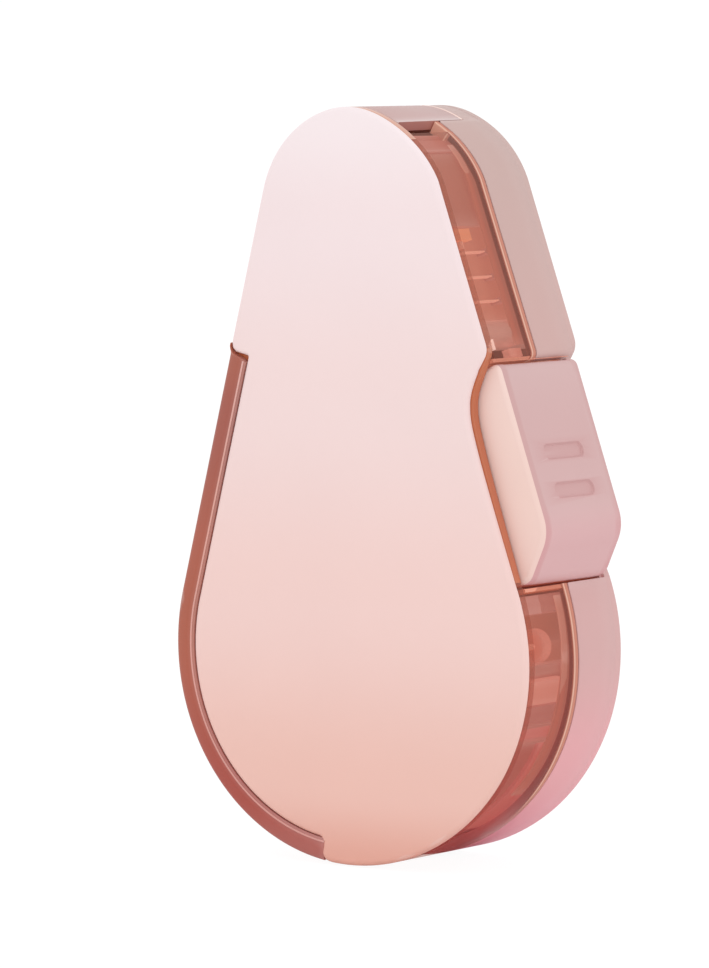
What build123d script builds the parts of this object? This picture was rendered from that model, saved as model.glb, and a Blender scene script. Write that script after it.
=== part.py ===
"""Correction tape roller with a side press button.

The body stands on its wide round end.  X runs left to right, Z runs up the long axis to the
narrow end, and the back of the body lies in the plane Y = 0 with the front facing -Y.  The
origin is the centre of the wide round end on the back face.  All sketches are drawn in XZ and
"level" means the distance in front of the back face, so level h is the plane Y = -h.
"""

import os
from math import acos, atan2, cos, degrees, hypot, pi, radians, sin, tan

from build123d import *

# ---- body outline -------------------------------------------------------------------------
BIG_R = 21.15  # wide round end
TOP_R = 10.74  # narrow round end
TOP_Z = 43.1  # centre of the narrow end
FLANK_DEG = 19.4  # right flank from the vertical
WALL = 1.3  # side wall
PLATE = 1.6  # back wall
REAR_R = 0.4  # rounding of the rear edge
NOTCH_FOOT_DEG = 20.3  # where the button bay meets the wide end
NOTCH = [(15.98, 30.05), (14.6, 27.4), (14.0, 24.8), (14.6, 21.5), (16.1, 17.0), (18.0, 11.6)]
CORNER_R = 1.2

# ---- levels ---------------------------------------------------------------------------------
SEAM = 7.85  # back cover meets the clear housing
FACE_IN = 15.4  # inside of the clear front wall
FACE_OUT = 16.35  # outside of the clear front wall
FRONT = 17.0  # face of the front cover
FRAME_LO = 2.1
FRAME_HI = 3.3
GEAR_LO = 3.7
GEAR_HI = 5.2
TAPE_LO = 6.0
TAPE_HI = 11.0
BRIDGE_LO = 12.9
BRIDGE_HI = 13.9

# ---- clear rim strip on the front -----------------------------------------------------------
STRIP_W = 2.1
STRIP_GAP = 0.18
STRIP_PROUD = 0.08

# ---- press button ---------------------------------------------------------------------------
PIVOT = (12.5, 31.4)
ELBOW = (22.64, 12.68)  # widest corner, before rounding
ELBOW_R = 4.0
SHOULDER = (17.03, 28.85)  # upper end of the outer face
PRESS_DEG = 12.0
TRAVEL = 7.0
BAY_R = 25.2
BUTTON_R = 24.95
BUTTON_LO = 1.75
BUTTON_HI = 15.25
BARREL_R = 1.5
PIN_R = 0.6
PEG = (12.0, 13.0)
PEG_R = 1.0
GRIP_LEN = 6.6
GRIP_W = 1.5
GRIP_DEPTH = 0.35
GRIP_Z = (20.35, 16.65)

# ---- head shutter ---------------------------------------------------------------------------
SHUTTER_FROM = 63.0
SHUTTER_TO = 124.0
MOUTH_FROM = 52.0
MOUTH_RIM = 9.0  # the clear rim runs on below this level, up to the shutter
MOUTH_TO = 140.0
MOUTH_LO = 3.7
SHUTTER_OPEN = 95.0
HINGE_R = 9.6
HINGE_DEG = 130.0
SHUTTER_T = 1.0
CRANK_X = 3.1
CRANK_Z = 3.5
CRANK_R = 0.7
KNUCKLE_R = 1.1

# ---- reels and gears ------------------------------------------------------------------------
SUPPLY = (-3.5, -3.0)
TAKEUP = (-1.0, 15.73)
MODULE = 0.7
SUPPLY_TEETH = 36
TAKEUP_TEETH = 18
ROLL_IN = 7.05
ROLL_OUT = 12.0
LINER_IN = 4.05
LINER_OUT = 5.0
WEB_T = 0.1

# ---- head, guides, spring -------------------------------------------------------------------
GUIDE = (6.6, 27.0)
GUIDE_R = 1.5
TIP = (0.4, 50.2)
TIP_R = 0.6
SPRING = (-7.6, 8.5)  # x and level of the spring axis
SPRING_LO = 24.0
SPRING_HI = 39.0
SPRING_R = 1.6
SPRING_WIRE = 0.2

# ---- posts that locate the two halves --------------------------------------------------------
POSTS = [(17.1, 1.0), (6.0, -17.0), (-7.9, 42.35), (7.9, 43.0), (-14.9, 15.0)]
RIB_Z = (35.7, 38.0, 40.3)
RIB_X = (10.2, 13.6)
RIB_LO = 11.3

os.makedirs("parts", exist_ok=True)


def level(h):
    return Plane.XZ.offset(h)


def polar(centre, radius, angle):
    return (centre[0] + radius * cos(radians(angle)), centre[1] + radius * sin(radians(angle)))


def turn(point, centre, angle):
    """Point turned clockwise in the XZ view, which is a positive turn about +Y."""
    dx = point[0] - centre[0]
    dz = point[1] - centre[1]
    c = cos(radians(angle))
    s = sin(radians(angle))
    return (centre[0] + dx * c + dz * s, centre[1] - dx * s + dz * c)


def tangent(c1, r1, c2, r2, side):
    """Ends of the line that touches both circles on the given side of the way from 1 to 2."""
    base = atan2(c2[1] - c1[1], c2[0] - c1[0])
    gap = hypot(c2[0] - c1[0], c2[1] - c1[1])
    angle = degrees(base) - side * degrees(acos((r1 - r2) / gap))
    return polar(c1, r1, angle), polar(c2, r2, angle), angle


def gear_outline(teeth, centre, phase):
    """Corner points of an involute gear, pressure angle 20 degrees, with a little backlash."""
    pitch_r = MODULE * teeth / 2
    base_r = pitch_r * cos(radians(20))
    root_r = pitch_r - 1.25 * MODULE
    tip_r = pitch_r + MODULE
    half_pitch = (pi * MODULE / 2 - 0.14) / (2 * pitch_r)
    inv20 = tan(radians(20)) - radians(20)
    points = []
    for i in range(teeth):
        middle = radians(phase) + 2 * pi * i / teeth
        flank = []
        start = max(base_r, root_r)
        for k in range(5):
            r = start + (tip_r - start) * k / 4
            a = acos(min(1.0, base_r / r))
            flank.append((r, half_pitch + inv20 - (tan(a) - a)))
        if root_r < base_r:
            flank.insert(0, (root_r, flank[0][1]))
        for r, w in flank:
            points.append(polar(centre, r, degrees(middle - w)))
        for r, w in reversed(flank):
            points.append(polar(centre, r, degrees(middle + w)))
    return points


SHUTTER_PIN = polar((0, TOP_Z), HINGE_R, HINGE_DEG)
CRANK_PEG = (SHUTTER_PIN[0] + CRANK_X, SHUTTER_PIN[1] - CRANK_Z)
LEFT_DEG = 90 + degrees(acos((BIG_R - TOP_R) / TOP_Z))
RIGHT_DEG = FLANK_DEG
STEPS = 12
MIDDLE = STEPS // 2

# ---- outlines -------------------------------------------------------------------------------
foot = polar((0, 0), BIG_R, NOTCH_FOOT_DEG)
left_low = polar((0, 0), BIG_R, LEFT_DEG)
left_top = polar((0, TOP_Z), TOP_R, LEFT_DEG)
right_top = polar((0, TOP_Z), TOP_R, RIGHT_DEG)
# the right flank as it would run on over the button
flank_end = (right_top[0] + (right_top[1] - ELBOW[1]) * tan(radians(FLANK_DEG)), ELBOW[1])

with BuildSketch() as full_outline:
    with BuildLine():
        CenterArc((0, 0), BIG_R, LEFT_DEG, 360 + NOTCH_FOOT_DEG - LEFT_DEG)
        Line(foot, flank_end)
        Line(flank_end, right_top)
        CenterArc((0, TOP_Z), TOP_R, RIGHT_DEG, LEFT_DEG - RIGHT_DEG)
        Line(left_top, left_low)
    make_face()
    fillet(full_outline.vertices().sort_by(Axis.X)[-1], 2.0)

with BuildSketch() as plate_outline:
    with BuildLine():
        CenterArc((0, 0), BIG_R, LEFT_DEG, 360 + NOTCH_FOOT_DEG - LEFT_DEG)
        Spline(foot, *reversed(NOTCH))
        Line(NOTCH[0], right_top)
        CenterArc((0, TOP_Z), TOP_R, RIGHT_DEG, LEFT_DEG - RIGHT_DEG)
        Line(left_top, left_low)
    make_face()
    fillet(plate_outline.vertices().sort_by_distance((NOTCH[0][0], NOTCH[0][1], 0))[0], CORNER_R)

with BuildSketch() as cavity:
    add(full_outline.sketch)
    offset(amount=-WALL, mode=Mode.REPLACE)

with BuildSketch() as cavity_core:
    add(full_outline.sketch)
    offset(amount=-WALL - 0.1, mode=Mode.REPLACE)

with BuildSketch() as bay:
    with Locations(PIVOT):
        Circle(BAY_R)
    with BuildLine():
        Polyline((18.5, 30.05), (13.8, 28.3), (11.0, 4.0), (30.0, 4.0), (30.0, 30.05), close=True)
    make_face(mode=Mode.INTERSECT)

# The front cover is cut back along the rim from part way up the left flank round to the foot,
# and the clear strip of the housing fills the cut.
with BuildSketch() as inside_strip:
    add(full_outline.sketch)
    offset(amount=-STRIP_W - STRIP_GAP, mode=Mode.REPLACE)

with BuildSketch() as cut_back:
    with BuildLine():
        Polyline((-30, 32.1), (-16.2, 32.1), (-11.0, 29.1), (-9.0, 20), (-3.3, -10), (-3.3, -30),
                 (-30, -30), close=True)
    make_face()
    add(inside_strip.sketch, mode=Mode.SUBTRACT)

with BuildSketch() as cover_outline:
    add(plate_outline.sketch)
    add(cut_back.sketch, mode=Mode.SUBTRACT)
    fillet(cover_outline.vertices().sort_by_distance((-14.2, 30.8, 0))[0], 1.5)
    fillet(cover_outline.vertices().sort_by_distance((-3.3, -20.9, 0))[0], 0.7)

with BuildSketch() as cover_and_gap:
    add(cover_outline.sketch)
    offset(amount=STRIP_GAP, mode=Mode.REPLACE)

with BuildSketch() as strip:
    add(full_outline.sketch)
    with BuildLine():
        Polyline((-30, 31.5), (-14.0, 31.5), (-9.0, 20), (-3.3, -10), (-3.3, -30), (-30, -30),
                 close=True)
    make_face(mode=Mode.INTERSECT)
    add(cover_and_gap.sketch, mode=Mode.SUBTRACT)

# ---- motion paths ---------------------------------------------------------------------------
# The button peg as the sliding core sees it, and the core's crank peg as the shutter sees it.
cam_path = []
crank_path = []
for i in range(STEPS + 1):
    share = i / STEPS
    x, z = turn(PEG, PIVOT, PRESS_DEG * share)
    cam_path.append((x, z - TRAVEL * share))
    peg = (CRANK_PEG[0], CRANK_PEG[1] + TRAVEL * share)
    crank_path.append(turn(peg, SHUTTER_PIN, SHUTTER_OPEN * share))

# ---- front cover ----------------------------------------------------------------------------
COVER_PEGS = [(0.0, 40.0), (-10.5, 18.0), (9.0, 8.0), (0.0, -14.0)]
COVER_PEG_R = 0.8
with BuildPart() as front_cover:
    with BuildSketch(level(FACE_OUT)):
        add(cover_outline.sketch)
    extrude(amount=FRONT - FACE_OUT)
    fillet(front_cover.faces().sort_by(Axis.Y)[0].edges(), 0.35)
    with BuildSketch(level(FACE_IN + 0.1)):
        with Locations(*COVER_PEGS):
            Circle(COVER_PEG_R)
    extrude(amount=FACE_OUT - FACE_IN - 0.1)

# ---- clear housing --------------------------------------------------------------------------
GUIDE_X = (-7.0, 2.0)  # ribs that hold the front plate of the core down
with BuildPart() as clear_housing:
    with BuildSketch(level(SEAM)):
        add(full_outline.sketch)
        add(cavity.sketch, mode=Mode.SUBTRACT)
        add(bay.sketch, mode=Mode.SUBTRACT)
    extrude(amount=FACE_IN - SEAM)
    # the mouth of the head is cut out of the side wall only
    for lo, start in ((SEAM, SHUTTER_FROM - 1.0), (MOUTH_RIM, MOUTH_FROM)):
        with BuildSketch(level(lo)):
            with BuildLine():
                a = polar((0, TOP_Z), 20, start)
                b = polar((0, TOP_Z), 30, 95)
                c = polar((0, TOP_Z), 20, MOUTH_TO)
                Polyline((0, TOP_Z), a, b, c, close=True)
            make_face()
        extrude(amount=FACE_IN - lo, mode=Mode.SUBTRACT)
    with BuildSketch(level(FACE_IN)):
        add(plate_outline.sketch)
        with Locations(*COVER_PEGS):
            Circle(COVER_PEG_R + 0.03, mode=Mode.SUBTRACT)
        with Locations(PIVOT, SHUTTER_PIN):
            Circle(PIN_R, mode=Mode.SUBTRACT)
    extrude(amount=FACE_OUT - FACE_IN)
    with BuildSketch(level(FACE_OUT)):
        add(strip.sketch)
    extrude(amount=FRONT + STRIP_PROUD - FACE_OUT)
    # tapered locating pins
    with BuildSketch(level(7.4)):
        with Locations(*POSTS):
            Circle(0.75)
    extrude(amount=FACE_IN - 7.4, taper=-2)
    # ribs inside the right flank, clear of the core when it is up
    for z in RIB_Z:
        with BuildSketch(level(RIB_LO)):
            with Locations(((RIB_X[0] + RIB_X[1]) / 2, z)):
                Rectangle(RIB_X[1] - RIB_X[0], 0.7)
            add(cavity.sketch, mode=Mode.INTERSECT)
        extrude(amount=FACE_IN - RIB_LO)
    # guide ribs for the core
    for x in GUIDE_X:
        with BuildSketch(level(BRIDGE_HI + 0.1)):
            with Locations((x, 12.0)):
                Rectangle(1.0, 22.0)
        extrude(amount=FACE_IN - BRIDGE_HI - 0.1)
    # seat of the return spring
    with BuildSketch(level(6.6)):
        with Locations((SPRING[0] - 0.4, SPRING_HI + 0.7)):
            Rectangle(4.6, 1.4)
        add(cavity.sketch, mode=Mode.INTERSECT)
    extrude(amount=FACE_IN - 6.6)
    with BuildSketch(Plane.XY.offset(SPRING_HI)):
        with Locations((SPRING[0], -SPRING[1])):
            Circle(0.9)
    extrude(amount=-2.0)

# ---- back cover -----------------------------------------------------------------------------
RAIL_X = (-7.0, 5.0)
RAIL_Z = (2.0, 15.0)
with BuildPart() as back_cover:
    with BuildSketch(level(0)):
        add(full_outline.sketch)
    extrude(amount=SEAM - 0.12)
    fillet(back_cover.faces().sort_by(Axis.Y)[-1].edges(), REAR_R)
    with BuildSketch(level(0)):
        add(bay.sketch)
        add(plate_outline.sketch, mode=Mode.SUBTRACT)
    extrude(amount=SEAM, mode=Mode.SUBTRACT)
    with BuildSketch(level(PLATE)):
        add(cavity.sketch)
        add(bay.sketch)
    extrude(amount=SEAM, mode=Mode.SUBTRACT)
    with BuildSketch(level(MOUTH_LO)):
        with BuildLine():
            a = polar((0, TOP_Z), 20, SHUTTER_FROM - 1.0)
            b = polar((0, TOP_Z), 30, 95)
            c = polar((0, TOP_Z), 20, MOUTH_TO)
            Polyline((0, TOP_Z), a, b, c, close=True)
        make_face()
    extrude(amount=SEAM, mode=Mode.SUBTRACT)
    # sockets for the tapered pins
    with BuildSketch(level(PLATE)):
        with Locations(*POSTS):
            Circle(1.7)
        add(cavity_core.sketch, mode=Mode.INTERSECT)
    extrude(amount=10.8 - PLATE)
    with BuildSketch(level(5.0)):
        with Locations(*POSTS):
            Circle(1.05)
    extrude(amount=6.0, mode=Mode.SUBTRACT)
    # rails for the core
    for x in RAIL_X:
        with BuildSketch(level(PLATE)):
            with Locations((x, sum(RAIL_Z) / 2)):
                Rectangle(1.2, RAIL_Z[1] - RAIL_Z[0])
        extrude(amount=1.4)
    # seats for the two steel pins
    with BuildSketch(level(0.6)):
        with Locations(PIVOT, SHUTTER_PIN):
            Circle(PIN_R)
    extrude(amount=SEAM, mode=Mode.SUBTRACT)

# ---- pins -----------------------------------------------------------------------------------
with BuildPart() as button_pin:
    with BuildSketch(level(0.7)):
        with Locations(PIVOT):
            Circle(PIN_R)
    extrude(amount=FACE_OUT - 0.8)

with BuildPart() as shutter_pin:
    with BuildSketch(level(0.7)):
        with Locations(SHUTTER_PIN):
            Circle(PIN_R)
    extrude(amount=FACE_OUT - 0.8)

# ---- press button ---------------------------------------------------------------------------
with BuildSketch() as button_outer:
    with BuildLine():
        Polyline((12.4, 30.2), (13.4, 30.9), (14.1, 27.85), SHOULDER, ELBOW, (19.7, 6.0),
                 (17.9, 6.0), (15.6, 15.5), (13.5, 24.5), (11.6, 30.2), close=True)
    make_face()
    fillet(button_outer.vertices().sort_by(Axis.X)[-1], ELBOW_R)
    with Locations(PIVOT):
        Circle(BUTTON_R, mode=Mode.INTERSECT)

with BuildSketch() as button_skin:
    add(button_outer.sketch)
    with BuildLine():
        Polyline((11.0, 30.6), (13.0, 30.2), (15.3, 27.6), (20.5, 13.7), (18.5, 8.2), (18.5, 4.0),
                 (8.0, 4.0), (8.0, 30.6), close=True)
    make_face(mode=Mode.SUBTRACT)

with BuildPart() as press_button:
    with BuildSketch(level(BUTTON_LO)):
        add(button_skin.sketch)
    extrude(amount=BUTTON_HI - BUTTON_LO)
    for h in (BUTTON_LO, BUTTON_HI - 1.2):
        with BuildSketch(level(h)):
            add(button_outer.sketch)
        extrude(amount=1.2)
    with BuildSketch(level(BUTTON_LO)):
        with Locations(PIVOT):
            Circle(BARREL_R)
    extrude(amount=BUTTON_HI - BUTTON_LO)
    # arm and peg that lift the core
    with BuildSketch(level(BUTTON_HI - 1.2)):
        with BuildLine():
            Polyline((16.4, 17.5), (12.2, 14.6), (10.7, 13.4), (10.7, 12.4), (12.2, 11.4),
                     (17.2, 10.0), close=True)
        make_face()
    extrude(amount=1.2)
    with BuildSketch(level(BRIDGE_LO - 0.4)):
        with Locations(PEG):
            Circle(PEG_R)
    extrude(amount=BUTTON_HI - 1.0 - BRIDGE_LO + 0.4)
    with BuildSketch(level(BUTTON_LO - 1)):
        with Locations(PIVOT):
            Circle(0.65)
    extrude(amount=FRONT, mode=Mode.SUBTRACT)
    # grip marks sunk into the outer face
    for z in GRIP_Z:
        slope = atan2(ELBOW[0] - SHOULDER[0], SHOULDER[1] - ELBOW[1])
        x = SHOULDER[0] + (SHOULDER[1] - z) * tan(slope)
        face = Plane(
            origin=(x, -(BUTTON_LO + BUTTON_HI) / 2, z),
            x_dir=(0, 1, 0),
            z_dir=(cos(slope), 0, sin(slope)),
        )
        with BuildSketch(face):
            SlotOverall(GRIP_LEN, GRIP_W)
        extrude(amount=-GRIP_DEPTH, mode=Mode.SUBTRACT)

# ---- head shutter ---------------------------------------------------------------------------
with BuildSketch() as shutter_shell:
    with BuildLine():
        a = polar((0, TOP_Z), TOP_R, SHUTTER_FROM)
        b = polar((0, TOP_Z), TOP_R - SHUTTER_T, SHUTTER_FROM)
        c = polar((0, TOP_Z), TOP_R, SHUTTER_TO)
        d = polar((0, TOP_Z), TOP_R - SHUTTER_T, SHUTTER_TO)
        CenterArc((0, TOP_Z), TOP_R, SHUTTER_FROM, SHUTTER_TO - SHUTTER_FROM)
        Line(c, d)
        CenterArc((0, TOP_Z), TOP_R - SHUTTER_T, SHUTTER_TO, SHUTTER_FROM - SHUTTER_TO)
        Line(b, a)
    make_face()

with BuildPart() as head_shutter:
    with BuildSketch(level(MOUTH_LO + 0.15)):
        add(shutter_shell.sketch)
    extrude(amount=FACE_IN - 0.15 - MOUTH_LO - 0.15)
    # hinge barrel, and the cheek with the crank slot
    with BuildSketch(level(MOUTH_LO + 0.15)):
        with Locations(SHUTTER_PIN):
            Circle(KNUCKLE_R)
        with BuildLine():
            Line(SHUTTER_PIN, polar((0, TOP_Z), TOP_R - 0.3, SHUTTER_TO - 2))
        trace(line_width=1.0)
    extrude(amount=FACE_IN - 0.15 - MOUTH_LO - 0.15)
    with BuildSketch(level(MOUTH_LO + 0.15)):
        with BuildLine():
            Line(SHUTTER_PIN, crank_path[0])
        trace(line_width=2.0)
        with Locations(*crank_path):
            Circle(1.6)
    extrude(amount=5.0 - MOUTH_LO - 0.15)
    with BuildSketch(level(MOUTH_LO)):
        for half in (crank_path[:MIDDLE + 1], crank_path[MIDDLE:]):
            with BuildLine():
                Polyline(*half)
            trace(line_width=2 * CRANK_R + 0.16)
        with Locations(*crank_path):
            Circle(CRANK_R + 0.08)
        with Locations(SHUTTER_PIN):
            Circle(0.65)
    extrude(amount=5.0 - MOUTH_LO, mode=Mode.SUBTRACT)
    with BuildSketch(level(5.0)):
        with Locations(SHUTTER_PIN):
            Circle(0.65)
    extrude(amount=FRONT - 5, mode=Mode.SUBTRACT)

# ---- sliding core ---------------------------------------------------------------------------
with BuildPart() as core_frame:
    with BuildSketch(level(FRAME_LO)):
        with Locations(SUPPLY):
            Circle(10.5)
        with Locations(TAKEUP):
            Circle(6.6)
        with Locations((-1.5, 8.0)):
            Rectangle(9.0, 8.0)
        with Locations((0.3, 21.8)):
            Rectangle(14.2, 22.6)
        with Locations((0.1, 35.2)):
            Rectangle(11.2, 5.6)
        with Locations((0.3, 38.5)):
            Rectangle(7.6, 5.0)
        with Locations((SPRING[0] + 0.4, SPRING_LO - 0.7)):
            Rectangle(5.0, 3.0)
        for x in RAIL_X:
            with Locations((x, (RAIL_Z[0] - TRAVEL + RAIL_Z[1]) / 2)):
                Rectangle(1.4, RAIL_Z[1] - RAIL_Z[0] + TRAVEL + 0.6, mode=Mode.SUBTRACT)
    extrude(amount=FRAME_HI - FRAME_LO)
    # reel posts, tape guide post and the post of the head
    for centre, r in ((SUPPLY, 2.0), (TAKEUP, 1.5), (GUIDE, GUIDE_R)):
        with BuildSketch(level(FRAME_HI)):
            with Locations(centre):
                Circle(r)
        extrude(amount=BRIDGE_LO - FRAME_HI)
        with BuildSketch(level(BRIDGE_LO)):
            with Locations(centre):
                Circle(r * 0.6)
        extrude(amount=BRIDGE_HI - BRIDGE_LO)
    with BuildSketch(level(BRIDGE_HI - 1.6)):
        with Locations(SUPPLY):
            Circle(0.6)
    extrude(amount=2.0, mode=Mode.SUBTRACT)
    # shoulder under the return spring
    with BuildSketch(level(FRAME_HI)):
        with Locations((SPRING[0], SPRING_LO - 0.7)):
            Rectangle(4.2, 1.4)
    extrude(amount=10.4 - FRAME_HI)
    with BuildSketch(Plane.XY.offset(SPRING_LO)):
        with Locations((SPRING[0], -SPRING[1])):
            Circle(0.9)
    extrude(amount=2.0)
    # tongue that carries the head
    with BuildSketch(level(FRAME_HI)):
        with Locations((0.9, 38.0)):
            Rectangle(2.6, 3.0)
    extrude(amount=BRIDGE_LO - FRAME_HI - 1.2)

with BuildPart() as core_bridge:
    with BuildSketch(level(BRIDGE_LO)):
        with BuildLine():
            Polyline(SUPPLY, TAKEUP, GUIDE)
        trace(line_width=6.0)
        with BuildLine():
            Polyline(SUPPLY, cam_path[-1], cam_path[0], TAKEUP, close=True)
        make_face()
        with Locations(*cam_path):
            Circle(2.4)
        with Locations(SUPPLY, TAKEUP, GUIDE):
            Circle(3.4)
        with Locations((-5.5, 12.0)):
            Rectangle(5.0, 10.0)
        for centre, r in ((SUPPLY, 2.0), (TAKEUP, 1.5), (GUIDE, GUIDE_R)):
            with Locations(centre):
                Circle(r * 0.6, mode=Mode.SUBTRACT)
        with BuildLine():
            Polyline(*cam_path)
        trace(line_width=2 * PEG_R + 0.16, mode=Mode.SUBTRACT)
        with Locations(*cam_path):
            Circle(PEG_R + 0.08, mode=Mode.SUBTRACT)
    extrude(amount=BRIDGE_HI - BRIDGE_LO)

# ---- applicator head ------------------------------------------------------------------------
right_low, right_tip, right_deg = tangent(GUIDE, GUIDE_R + 0.13, TIP, TIP_R + 0.08, 1)
left_tip, left_low_web, left_deg = tangent(TIP, TIP_R + 0.08, TAKEUP, LINER_OUT + 0.1, 1)


def along(a, b, z):
    return a[0] + (b[0] - a[0]) * (z - a[1]) / (b[1] - a[1])


with BuildPart() as applicator_head:
    with BuildSketch(level(TAPE_LO - 0.3)):
        with BuildLine():
            Polyline(
                (along(left_tip, left_low_web, 40.0) + 0.25, 40.0),
                (along(right_low, right_tip, 40.0) - 0.25, 40.0),
                (along(right_low, right_tip, TIP[1]) - 0.25, TIP[1]),
                (along(left_tip, left_low_web, TIP[1]) + 0.25, TIP[1]),
                close=True,
            )
        make_face()
        with Locations(TIP):
            Circle(TIP_R - 0.05)
    extrude(amount=TAPE_HI - TAPE_LO + 0.6)
    with BuildSketch(level(TAPE_LO - 0.9)):
        with BuildLine():
            Polyline((-3.4, 36.2), (5.4, 36.2), (5.0, 41.0), (1.4, 49.4), (-0.5, 49.4), (-3.0, 43.5),
                     close=True)
        make_face()
    extrude(amount=0.6)
    with BuildSketch(level(TAPE_HI + 0.3)):
        with BuildLine():
            Polyline((-3.4, 36.2), (5.4, 36.2), (5.0, 41.0), (1.4, 49.4), (-0.5, 49.4), (-3.0, 43.5),
                     close=True)
        make_face()
    extrude(amount=0.6)
    # ear and peg that work the shutter
    with BuildSketch(level(TAPE_LO - 0.9)):
        with BuildLine():
            Polyline((CRANK_PEG[0], CRANK_PEG[1]), (-0.2, 43.5))
        trace(line_width=2.2)
        with Locations(CRANK_PEG):
            Circle(1.1)
    extrude(amount=0.6)
    with BuildSketch(level(MOUTH_LO + 0.2)):
        with Locations(CRANK_PEG):
            Circle(CRANK_R)
    extrude(amount=TAPE_LO - 0.9 - MOUTH_LO - 0.2)
    # socket for the tongue of the frame
    with BuildSketch(level(FRAME_HI + 0.02)):
        with Locations((0.9, 38.2)):
            Rectangle(2.64, 3.64)
    extrude(amount=9, mode=Mode.SUBTRACT)

# ---- supply side ----------------------------------------------------------------------------
mesh_deg = degrees(atan2(TAKEUP[1] - SUPPLY[1], TAKEUP[0] - SUPPLY[0]))
with BuildPart() as supply_gear:
    with BuildSketch(level(GEAR_LO)):
        with BuildLine():
            Polyline(*gear_outline(SUPPLY_TEETH, SUPPLY, mesh_deg), close=True)
        make_face()
        with Locations(SUPPLY):
            Circle(2.05, mode=Mode.SUBTRACT)
            with PolarLocations(7.6, 6):
                Circle(1.9, mode=Mode.SUBTRACT)
    extrude(amount=GEAR_HI - GEAR_LO)
    with BuildSketch(level(GEAR_HI)):
        with Locations(SUPPLY):
            Circle(3.2)
            Circle(2.05, mode=Mode.SUBTRACT)
    extrude(amount=12.6 - GEAR_HI)

with BuildPart() as clutch_ring:
    with BuildSketch(level(GEAR_HI)):
        with Locations(SUPPLY):
            Circle(5.2)
            Circle(3.3, mode=Mode.SUBTRACT)
    extrude(amount=0.5)

with BuildPart() as supply_reel:
    with BuildSketch(level(GEAR_HI + 0.56)):
        with Locations(SUPPLY):
            Circle(7.0)
            Circle(3.26, mode=Mode.SUBTRACT)
    extrude(amount=0.9)
    with BuildSketch(level(GEAR_HI + 1.4)):
        with Locations(SUPPLY):
            Circle(4.2)
            Circle(3.26, mode=Mode.SUBTRACT)
    extrude(amount=12.2 - GEAR_HI - 1.4)
    with BuildSketch(level(GEAR_HI + 1.4)):
        with Locations(SUPPLY):
            Circle(7.0)
            Circle(6.0, mode=Mode.SUBTRACT)
            with PolarLocations(5.1, 6):
                Rectangle(2.0, 0.8)
    extrude(amount=11.4 - GEAR_HI - 1.4)

with BuildPart() as tape_roll:
    with BuildSketch(level(TAPE_LO)):
        with Locations(SUPPLY):
            Circle(ROLL_OUT)
            Circle(ROLL_IN, mode=Mode.SUBTRACT)
    extrude(amount=TAPE_HI - TAPE_LO)

with BuildPart() as reel_cap:
    with BuildSketch(level(BRIDGE_HI + 0.02)):
        with Locations(SUPPLY):
            Circle(2.2)
    extrude(amount=0.7)
    with BuildSketch(level(BRIDGE_HI - 1.5)):
        with Locations(SUPPLY):
            Circle(0.6)
    extrude(amount=1.6)

# ---- take-up side ---------------------------------------------------------------------------
with BuildPart() as takeup_gear:
    with BuildSketch(level(GEAR_LO)):
        with BuildLine():
            Polyline(*gear_outline(TAKEUP_TEETH, TAKEUP, mesh_deg + 180 + 180 / TAKEUP_TEETH),
                     close=True)
        make_face()
        with Locations(TAKEUP):
            Circle(1.55, mode=Mode.SUBTRACT)
    extrude(amount=GEAR_HI - GEAR_LO)
    with BuildSketch(level(GEAR_HI)):
        with Locations(TAKEUP):
            Circle(2.4)
            Circle(1.55, mode=Mode.SUBTRACT)
    extrude(amount=12.6 - GEAR_HI)

with BuildPart() as takeup_reel:
    with BuildSketch(level(GEAR_HI + 0.1)):
        with Locations(TAKEUP):
            Circle(4.0)
            Circle(2.4, mode=Mode.SUBTRACT)
    extrude(amount=11.3 - GEAR_HI - 0.1)
    with BuildSketch(level(11.3)):
        with Locations(TAKEUP):
            Circle(6.4)
            Circle(2.4, mode=Mode.SUBTRACT)
    extrude(amount=0.7)

with BuildPart() as liner_roll:
    with BuildSketch(level(TAPE_LO)):
        with Locations(TAKEUP):
            Circle(LINER_OUT)
            Circle(LINER_IN, mode=Mode.SUBTRACT)
    extrude(amount=TAPE_HI - TAPE_LO)

# ---- tape runs ------------------------------------------------------------------------------
roll_off, guide_on, roll_deg = tangent(SUPPLY, ROLL_OUT + 0.1, GUIDE, GUIDE_R + 0.13, 1)
with BuildPart() as tape_run:
    with BuildSketch(level(TAPE_LO)):
        with BuildLine():
            Line(roll_off, guide_on)
            CenterArc(GUIDE, GUIDE_R + 0.13, roll_deg, right_deg - roll_deg)
            Line(right_low, right_tip)
        trace(line_width=WEB_T)
    extrude(amount=TAPE_HI - TAPE_LO)

with BuildPart() as liner_run:
    with BuildSketch(level(TAPE_LO)):
        with BuildLine():
            CenterArc(TIP, TIP_R + 0.08, right_deg + 4, left_deg - right_deg - 4 + 360 * (left_deg < 0))
            Line(left_tip, left_low_web)
        trace(line_width=WEB_T)
    extrude(amount=TAPE_HI - TAPE_LO)

# ---- return spring --------------------------------------------------------------------------
with BuildPart() as return_spring:
    with BuildLine(Plane((SPRING[0], -SPRING[1], SPRING_LO + SPRING_WIRE + 0.02))):
        coil = Helix((SPRING_HI - SPRING_LO - 2 * SPRING_WIRE - 0.04) / 9,
                     SPRING_HI - SPRING_LO - 2 * SPRING_WIRE - 0.04, SPRING_R)
    with BuildSketch(Plane(coil @ 0, z_dir=coil % 0)):
        Circle(SPRING_WIRE)
    sweep()

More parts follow.
